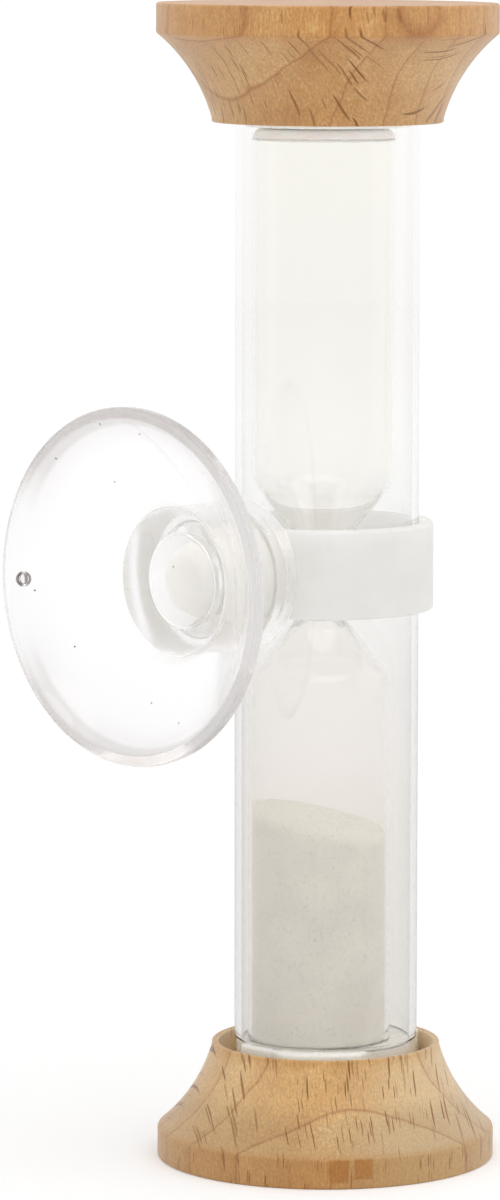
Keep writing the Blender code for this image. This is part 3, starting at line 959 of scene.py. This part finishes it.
def makeSand(settings):
    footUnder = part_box("sandglass")[0].z - bulbSettings["footSag"]
    bottom = footUnder + bulbSettings["footWall"] + settings["floorGap"]
    radius, segments = settings["radius"], settings["segments"]
    wall = rounded([(radius, settings["level"], 0), (radius, bottom, settings["floorRound"]),
            (0.0, bottom, 0)])
    body = bmesh.new()
    rings = []
    for index in range(settings["rings"] + 1):
        reach = radius * index / settings["rings"]
        rings.append(ringOf(body, reach, segments, lambda angle: sandSurface(reach, angle, settings)))

    def wallHeight(angle):
        top = sandSurface(radius, angle, settings)
        return top + (wall[1].y - top) * index / settings["wallSteps"]

    for index in range(1, settings["wallSteps"]):
        rings.append(ringOf(body, radius, segments, wallHeight))
    rings += [ringOf(body, point.x, segments, lambda angle: point.y) for point in wall[1:]]
    skinned(body, rings, segments)
    heap = finished("sand_heap", body, smoothAngle=80)
    leanOver(heap, bulbSettings)
    material = makeSandMaterial(settings)
    seat(heap, material, "timer", "sand")
    strewGrains(heap, settings, material)


# Milky glue that has set in the caps' recesses, squeezed out unevenly round the tube
glueSettings = {
    "colour": "#f5f2ea",
    "segments": 192,
    "side": 10.25 * mm,
    "wobble": 0.4 * mm,
    "wobbleScale": 3.1,
    "ledge": 0.8,
    "brow": 0.93,
    "rimRound": 0.6 * mm,
    "rimDepth": 0.7 * mm,
    "beadShoulder": 2.2,
    "clearance": 0.15 * mm,
    "mottle": (420.0, 3.0, 0.3, 0.2 * mm),
    "haze": (0.35, 0.65, 0.12, 0.35),
    "topGap": 0.04 * mm,
    # where it came out: direction and half width in degrees, how far it reaches and how high it stands
    "beads": [
        {"turn": 129, "half": 36, "reach": 1.85 * mm, "rise": 0.24 * mm},
        {"turn": 84, "half": 18, "reach": 1.0 * mm, "rise": 0.2 * mm},
        {"turn": 262, "half": 30, "reach": 1.5 * mm, "rise": 0.15 * mm},
        {"turn": 340, "half": 36, "reach": 1.7 * mm, "rise": 0.2 * mm},
    ],
}


def makeGlueMaterial(settings):
    material, add, place = newMaterial("setMilkyGlue")
    cloud, bump = mottled(add, place, *settings["mottle"])
    haze = add("MapRange", [cloud, *settings["haze"]])
    milk = add("BsdfPrincipled", {"Base Color": settings["colour"], "Roughness": haze, "Normal": bump,
            "IOR": 1.47, "Transmission Weight": 0.06, "Subsurface Weight": 0.6,
            "Subsurface Radius": (1.0, 1.0, 0.9), "Subsurface Scale": 0.002})
    add("OutputMaterial", [milk])
    return material


def squeezeOut(bed, settings, radius, top):
    ledge = radius * settings["ledge"]
    for vertex in bed.data.vertices:
        outward = Vector((vertex.co.x, vertex.co.y, 0.0))
        if outward.length < ledge:
            continue
        turn = math.degrees(math.atan2(outward.y, outward.x)) % 360
        wobble = noise.noise(outward.normalized() * settings["wobbleScale"])
        edge = settings["side"] + settings["wobble"] * wobble
        rise = 0.0
        for bead in settings["beads"]:
            share = eased(settings["beadShoulder"] * (1 - abs(turn - bead["turn"]) / bead["half"]))
            edge += bead["reach"] * share
            rise += bead["rise"] * share
        share = (outward.length - ledge) / (radius * (1 - settings["ledge"]))
        vertex.co += outward.normalized() * (edge - radius) * share
        if vertex.co.z > top - settings["rimDepth"]:
            vertex.co.z += rise * min(1.0, 2 * share)


def makeGlue(settings):
    material = makeGlueMaterial(settings)
    low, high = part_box("lower_glue_bed")
    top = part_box("outer_tube")[0].z - settings["topGap"]
    outline = rounded([(0.0, top, 0), (high.x * settings["ledge"], top, 0),
            (high.x * settings["brow"], top, 0), (high.x, top, settings["rimRound"]), (high.x, low.z, 0),
            (0.0, low.z, 0)], 8)
    lower = turned("lower_glue_bed_set", outline, settings["segments"])
    squeezeOut(lower, settings, high.x, top)
    seat(lower, material, "timer", "lower_glue_bed")
    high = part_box("upper_glue_bed")[1]
    gap = settings["clearance"]
    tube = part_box("outer_tube")[1]
    bore = tube.x - tubeSettings["wall"] - 0.1 * mm
    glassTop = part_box("sandglass")[1].z + gap
    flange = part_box("filling_plug")[1]
    hole = flange.x + gap
    outline = rounded([(0.0, high.z, 0), (high.x, high.z, 0), (high.x, tube.z + gap, 0),
            (bore, tube.z + gap, 0), (bore, glassTop, 0.4 * mm), (hole, glassTop, 0),
            (hole, flange.z + gap, 0), (0.0, flange.z + gap, 0)])
    upper = turned("upper_glue_bed_set", outline, settings["segments"])
    seat(upper, material, "timer", "upper_glue_bed")
    print("glue: set")


# Polythene stopper of the filling hole
plugSettings = {
    "shank": 1.5 * mm,
    "flangeRound": 0.2 * mm,
    "tip": 0.3 * mm,
    "flange": 0.6 * mm,
    "colour": "#f6f5f2",
    "mottle": (5200.0, 2.0, 0.2, 0.05 * mm),
    "segments": 96,
}


def makePlugMaterial(settings):
    material, add, place = newMaterial("mouldedStopper")
    bump = mottled(add, place, *settings["mottle"])[1]
    surface = add("BsdfPrincipled", {"Base Color": settings["colour"], "Roughness": 0.4, "Normal": bump,
            "Subsurface Weight": 0.3, "Subsurface Radius": (0.5, 0.5, 0.5), "Subsurface Scale": 0.002})
    add("OutputMaterial", [surface])
    return material


def makePlug(settings):
    low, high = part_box("filling_plug")
    under = high.z - settings["flange"]
    outline = rounded([(0.0, high.z, 0), (high.x, high.z, settings["flangeRound"]), (high.x, under, 0),
            (settings["shank"], under, 0), (settings["shank"], low.z + settings["tip"], 0),
            (settings["shank"] - settings["tip"], low.z, 0), (0.0, low.z, 0)])
    plug = turned("filling_plug_moulded", outline, settings["segments"])
    seat(plug, makePlugMaterial(settings), "timer", "filling_plug")
    print("stopper: moulded")


# Natural polythene band: milky, satin, a little see-through at its thin edges
bandSettings = {
    "milk": [(0.3, "#dad9d6"), (0.7, "#e1e0dc")],
    # painted light: the bore and the stud are painted whiter
    "boreLight": "#fbfaf7",
    "studLight": "#eeedea",
    "mottle": (3800.0, 2.0, 0.12, 0.05 * mm),
    "wall": 1.4 * mm,
    "height": 10.2 * mm,
    "edgeRound": 0.45 * mm,
    "collarStand": 0.85 * mm,
    "collarRadius": 5.0 * mm,
    "neckRadius": 3.9 * mm,
    "neckLength": 2.8 * mm,
    "headRadius": 5.65 * mm,
    "barbEdge": 0.9 * mm,
    "tipTaper": 1.9 * mm,
    "tipRound": 1.4 * mm,
    "rootBite": 0.3 * mm,
    "segments": 192,
    "studSegments": 96,
}


def makeBandMaterial(settings):
    material, add, place = newMaterial("milkyPolythene")
    cloud = add("TexNoise", {"Vector": place, "Scale": 150.0, "Detail": 3.0})
    colour = add("ValToRGB", [cloud], settings["milk"])
    # Painted light: its bore and its stud, against glass and vinyl, are painted whiter, as if lit through
    # the wall
    x, y, z = add("SeparateXYZ", [place]).outputs
    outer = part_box("clip_band")[1].x
    bore = add("Math", [fromAxis(add, place), outer - 0.75 * settings["wall"]], operation="LESS_THAN")
    boreLit = add("Mix", {"Factor": bore, "A": colour, "B": settings["boreLight"]}, data_type="RGBA")
    stud = add("Math", [y, outer + settings["collarStand"]], operation="GREATER_THAN")
    milky = add("Mix", {"Factor": stud, "A": boreLit, "B": settings["studLight"]}, data_type="RGBA")
    bump = mottled(add, place, *settings["mottle"])[1]
    surface = add("BsdfPrincipled", {"Base Color": milky, "Roughness": 0.48, "Normal": bump, "IOR": 1.45,
            "Subsurface Weight": 1.0, "Subsurface Radius": (1.0, 1.0, 0.95), "Subsurface Scale": 0.006})
    add("OutputMaterial", [surface])
    return material


def studOutline(settings, bandRadius, bandBore):
    collarFace = bandRadius + settings["collarStand"]
    headBack = collarFace + settings["neckLength"]
    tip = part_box("clip_band")[1].y
    root = bandBore + settings["rootBite"]
    head, neck, collar = settings["headRadius"], settings["neckRadius"], settings["collarRadius"]
    return rounded([(0.0, tip, 0), (head - settings["tipTaper"], tip, settings["tipRound"]),
            (head, headBack + settings["barbEdge"], 0.2 * mm), (head, headBack, 0.15 * mm),
            (neck, headBack, 0.3 * mm), (neck, collarFace, 0.3 * mm), (collar, collarFace, 0.2 * mm),
            (collar, root, 0), (0.0, root, 0)])


def sweptHoop(add, given):
    circle = add("GeometryNodeCurvePrimitiveCircle", {"Resolution": given["Segments"],
            "Radius": given["Radius"]})
    upright = add("GeometryNodeSetCurveNormal", {"Curve": circle}, mode="Z_UP")
    strip = add("GeometryNodeCurvePrimitiveQuadrilateral", {"Width": given["Wall"],
            "Height": given["Height"]})
    filleted = add("GeometryNodeFilletCurve", {"Curve": strip, "Radius": given["Edge Round"], "Count": 6},
            mode="POLY")
    return add("GeometryNodeCurveToMesh", {"Curve": upright, "Profile Curve": filleted})


def makeHoop(settings, radius, middle, material):
    hoop = placed("clip_band_moulded", bpy.data.meshes.new("clip_band_moulded"))
    sizes = {"Radius": radius - settings["wall"] / 2, "Wall": settings["wall"],
            "Height": settings["height"], "Edge Round": settings["edgeRound"],
            "Segments": settings["segments"]}
    grown(hoop, "mouldedHoop", sizes, material, sweptHoop)
    body = bmesh.new()
    body.from_mesh(hoop.data)
    faceOut(body)
    bmesh.ops.translate(body, verts=body.verts[:], vec=(0, 0, middle))
    body.to_mesh(hoop.data)
    body.free()
    return hoop


def makeBand(settings):
    low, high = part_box("clip_band")
    middle = (low.z + high.z) / 2
    radius = high.x
    bore = radius - settings["wall"]
    material = makeBandMaterial(settings)
    band = makeHoop(settings, radius, middle, material)
    stud = turned("stud", studOutline(settings, radius, bore), settings["studSegments"], axis="Y")
    stud.data.transform(Matrix.Translation((0, 0, middle)))
    fused(band, stud)
    seat(band, material, "band", "clip_band")
    print("band: moulded with its stud")


# Clear vinyl suction cup: soft, glossy, with a faint grey cast where it is thick and painted shade on its
# rim
cupSettings = {
    # painted shade: the rim greyer than the bowl, for the darker surroundings it refracts
    "rimShadeTints": [(0.0, "#fdfcfc"), (0.43, "#fdfcfc"), (0.5, "#fefdfd"), (0.8, "#fcfbfb"), (0.925, "#f2f0f0"),
              (0.945, "#d2cecc"), (1.0, "#d2cecc")],
    # painted light: one side of the rim cleared toward white
    "paintedLitSide": (14.0 * mm, 18.5 * mm, 0.9),
    # the hub tinted grey toward one side
    "hubGreySide": (6.0 * mm, -8.0 * mm, "#edecea"),
    "hubShare": (0.49, 0.44),
    "hubRoughness": 0.06,
    "ior": 1.53,
    "polish": 0.0,
    "satin": 0.07,
    "clearness": 1.0,
    "haze": 10.0,
    "cast": "#ebeae9",
    # the tint of the painted light on the cleared side
    "litTint": "#fbfbfb",
    # painted shade round the pip's edge, and the real dust specks
    "dustAndShadeColour": "#4a3f3d",
    "bowlSkin": (0.05 * mm, 0.2 * mm),
    "unevenness": 0.06,
    "dustScale": 95.0,
    "dustSize": 0.01,
    "segments": 448,
    "bowlSteps": 30,
    "backSteps": 24,
    "rimSteps": 16,
    "hubSteps": 14,
    "bowlDepth": 7.5 * mm,
    "rimFace": 1.2 * mm,
    "rimThickness": 1.1 * mm,
    "rimRound": 0.3 * mm,
    "backRadius": 30.0 * mm,
    "rootDrop": 1.1 * mm,
    "hubRadius": 8.65 * mm,
    "hubEdgeRound": 1.1 * mm,
    "hubRootRound": 1.2 * mm,
    "play": 0.3 * mm,
    "pipRadius": 0.9 * mm,
    "pipRise": 0.4,
    "pipInset": 1.25 * mm,
    "pipDrop": 0.72 * mm,
    # the pip's ring of painted shade: radius, fading edge and full core
    "pipShadeRing": (0.74, 0.22, 0.1),
    "pipLean": (0.94, 0.46, 0.0),
}


def makeVinyl(settings, bowlCentre, bowlRadius, pip):
    material, add, place = newMaterial("clearSoftVinyl")
    # The mould is polished only where the cup grips; its back and hub come out satin
    away = add("VectorMath", [place, bowlCentre], operation="DISTANCE")
    offBowl = add("Math", [away, bowlRadius], operation="SUBTRACT")
    satin = add("MapRange", [offBowl, *settings["bowlSkin"], settings["polish"], settings["satin"]])
    cloud = add("TexNoise", {"Vector": place, "Scale": 260.0, "Detail": 3.0})
    # Painted shade greys the thick rim against the clear bowl, painted light clears one side; the hub greys
    # on the other
    x, y, z = add("SeparateXYZ", [place]).outputs
    sideways = add("CombineXYZ", {"X": x, "Z": z})
    reach = add("VectorMath", [sideways, (0.0, 0.0, bowlCentre[2])], operation="DISTANCE")
    share = add("Math", [reach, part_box("suction_cup")[1].x], operation="DIVIDE")
    rimShadeTints = add("ValToRGB", [share], settings["rimShadeTints"])
    sideStart, sideEnd, litMost = settings["paintedLitSide"]
    litShare = add("MapRange", [x, sideStart, sideEnd, 0.0, litMost], interpolation_type="SMOOTHSTEP")
    sideLit = add("Mix", {"Factor": litShare, "A": rimShadeTints, "B": settings["litTint"]}, data_type="RGBA")
    # the hub tinted grey toward one side
    greyStart, greyEnd, greyTint = settings["hubGreySide"]
    greySide = add("MapRange", [x, greyStart, greyEnd], interpolation_type="SMOOTHSTEP")
    hub = add("MapRange", [share, *settings["hubShare"]], interpolation_type="SMOOTHSTEP")
    hubGrey = add("Math", [greySide, hub], operation="MULTIPLY")
    tinted = add("Mix", {"Factor": hubGrey, "A": sideLit, "B": greyTint}, data_type="RGBA")
    behind = add("Math", [offBowl, settings["bowlSkin"][1]], operation="GREATER_THAN")
    hubBack = add("Math", [hub, behind], operation="MULTIPLY")
    rougher = add("Math", [hubBack, settings["hubRoughness"], satin], operation="MULTIPLY_ADD")
    uneven = add("Math", [cloud, settings["unevenness"], rougher], operation="MULTIPLY_ADD")
    # Painted shade: the moulding pip's edge gets a dark ring, as the edge of a small lens looks dark
    lean = settings["pipLean"]
    leaned = add("VectorMath", [place, lean], operation="DOT_PRODUCT")
    flatPip = add("CombineXYZ", [leaned, z])
    fromPip = add("VectorMath", [flatPip, (pip.dot(Vector(lean)), pip.z, 0.0)], operation="DISTANCE")
    ringRadius, ringEdge, ringCore = [size * mm for size in settings["pipShadeRing"]]
    offRing = add("Math", [fromPip, ringRadius], operation="SUBTRACT")
    folded = add("Math", [offRing], operation="ABSOLUTE")
    ring = add("MapRange", [folded, ringEdge, ringCore], interpolation_type="SMOOTHSTEP")
    pipShade = add("Math", [ring, behind], operation="MULTIPLY")
    # Here and there a speck of dust lies in the bowl
    flat = add("CombineXYZ", [x, z])
    dust = add("TexVoronoi", {"Vector": flat, "Scale": settings["dustScale"]}, voronoi_dimensions="2D")
    grain = add("Math", [dust, settings["dustSize"]], operation="LESS_THAN")
    speck = add("Math", [grain, behind], operation="GREATER_THAN")
    # one colour for the real dust specks and the pip's painted shade
    dustAndShade = add("Math", [pipShade, speck], operation="MAXIMUM")
    dustedAndShaded = add("Mix", {"Factor": dustAndShade, "A": tinted, "B": settings["dustAndShadeColour"]}, data_type="RGBA")
    clear = add("BsdfPrincipled", {"Base Color": dustedAndShaded, "Roughness": uneven, "IOR": settings["ior"],
            "Transmission Weight": settings["clearness"]})
    absorbed = add("VolumeAbsorption", {"Color": settings["cast"], "Density": settings["haze"]})
    add("OutputMaterial", [clear, absorbed])
    return material


def cupOutline(settings):
    low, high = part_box("suction_cup")
    radius = high.x
    rimPlane = high.y
    bowlFloor = rimPlane - settings["bowlDepth"]
    rimInner = radius - settings["rimFace"]
    bowlRadius = (rimInner ** 2 + settings["bowlDepth"] ** 2) / (2 * settings["bowlDepth"])
    bowlMiddle = bowlFloor + bowlRadius
    bowl = arc(Vector((0.0, bowlMiddle)), Vector((0.0, bowlFloor)), Vector((rimInner, rimPlane)),
            settings["bowlSteps"])
    hubRadius, play = settings["hubRadius"], settings["play"]
    root = Vector((hubRadius, bowlFloor - settings["rootDrop"]))
    rimBack = Vector((radius, rimPlane - settings["rimThickness"]))
    centre = arcCentre(root, rimBack, settings["backRadius"])
    dome = arc(centre, rimBack, root, settings["backSteps"])
    neck = bandSettings["neckRadius"] + play
    head = bandSettings["headRadius"] + play
    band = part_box("clip_band")[1]
    headBack = band.x + bandSettings["collarStand"] + bandSettings["neckLength"] - play
    headFront = band.y + play
    rim = rounded([(*bowl[-1], 0), (radius, rimPlane, settings["rimRound"]),
            (*dome[0], settings["rimRound"]), (*dome[1], 0)], settings["rimSteps"])
    hub = rounded([(*dome[-2], 0), (*dome[-1], settings["hubRootRound"]),
            (hubRadius, low.y, settings["hubEdgeRound"]), (neck, low.y, 0.3 * mm),
            (neck, headBack, 0.2 * mm), (head, headBack, 0.3 * mm), (head, headFront, 0.8 * mm),
            (0.0, headFront, 0)], settings["hubSteps"])
    return bowl[:-1] + rim[:-1] + dome[1:-2] + hub, centre, bowlMiddle, bowlRadius


def makeCup(settings):
    outline, centre, bowlMiddle, bowlRadius = cupOutline(settings)
    middle = (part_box("clip_band")[0].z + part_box("clip_band")[1].z) / 2
    cup = turned("suction_cup_clear", outline, settings["segments"], axis="Y")
    cup.data.transform(Matrix.Translation((0, 0, middle)))
    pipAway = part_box("suction_cup")[1].x - settings["pipInset"]
    pipDepth = centre.y - math.sqrt(settings["backRadius"] ** 2 - (pipAway - centre.x) ** 2)
    body = bmesh.new()
    bmesh.ops.create_uvsphere(body, u_segments=32, v_segments=20, radius=settings["pipRadius"])
    pip = Vector((pipAway, pipDepth, middle - settings["pipDrop"]))
    bmesh.ops.scale(body, verts=body.verts[:], vec=(1.0, settings["pipRise"], 1.0))
    bmesh.ops.translate(body, verts=body.verts[:], vec=pip)
    gate = finished("pip", body)
    fused(cup, gate)
    vinyl = makeVinyl(settings, (0.0, bowlMiddle, middle), bowlRadius, pip)
    seat(cup, vinyl, "cup", "suction_cup")
    print("suction cup: moulded")


makeStudio()
makeCaps(capSettings)
makeTube(tubeSettings)
makeSandglass(bulbSettings)
makeSand(sandSettings)
makePlug(plugSettings)
makeGlue(glueSettings)
makeBand(bandSettings)
makeCup(cupSettings)
